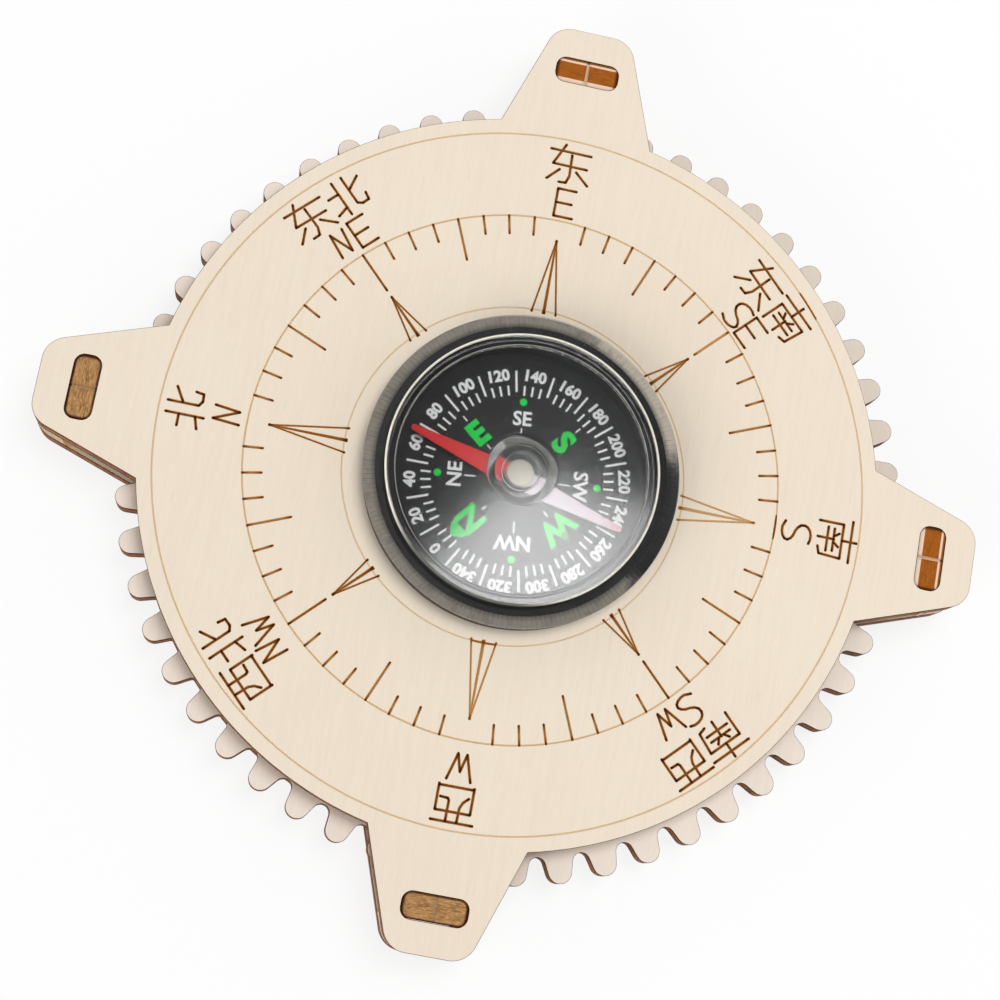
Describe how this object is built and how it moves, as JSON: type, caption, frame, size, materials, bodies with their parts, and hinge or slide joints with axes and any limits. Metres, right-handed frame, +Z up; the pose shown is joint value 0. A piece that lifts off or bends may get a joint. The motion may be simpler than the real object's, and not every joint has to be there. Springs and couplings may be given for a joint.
{
  "type": "direction compass",
  "caption": "Direction compass set in a flat stack of laser-cut plywood plates with lugs and keys, with a toothed wheel between the plates and a needle under a clear cover.",
  "frame": {"origin": "under the middle of the bottom plate, on the surface that the object stands on", "axes": "+Z up through the dial, +Y to the north mark on the wood, +X to its east mark"},
  "size_m": [0.1206, 0.1206, 0.0138],
  "materials": {
    "plywood": "matte plywood face",
    "plywood_wheel": "matte plywood face",
    "burnt_edge": "laser-burnt plywood edge",
    "black_plastic": "glossy moulding",
    "dial_print": "printed card",
    "brass_pin": "turned",
    "clear_plastic": "clear moulding",
    "needle_paint": "painted red and white",
    "pale_metal": "satin"
  },
  "bodies": {
    "frame": {"bottom_plate": "plywood", "top_plate": "plywood", "key_north": "burnt_edge", "key_east": "burnt_edge", "key_south": "burnt_edge", "key_west": "burnt_edge"},
    "wheel": {"gear_wheel": "plywood_wheel"},
    "module": {"module_base": "black_plastic", "dial_card": "dial_print", "pivot_pin": "brass_pin", "clear_cover": "clear_plastic"},
    "needle": {"needle_blade": "needle_paint", "needle_hub": "pale_metal"}
  },
  "joints": [
    {"name": "wheel_turn", "type": "hinge", "parent": "frame", "child": "wheel", "pos_m": [-0.00062, -0.00076, 0.0047], "axis": [0, 0, 1], "continuous": true},
    {"name": "module_turn", "type": "hinge", "parent": "frame", "child": "module", "pos_m": [0.00005, -0.0006, 0.0095], "axis": [0, 0, 1], "continuous": true},
    {"name": "needle_turn", "type": "hinge", "parent": "module", "child": "needle", "pos_m": [0.00005, -0.0006, 0.00974], "axis": [0, 0, 1], "continuous": true}
  ]
}
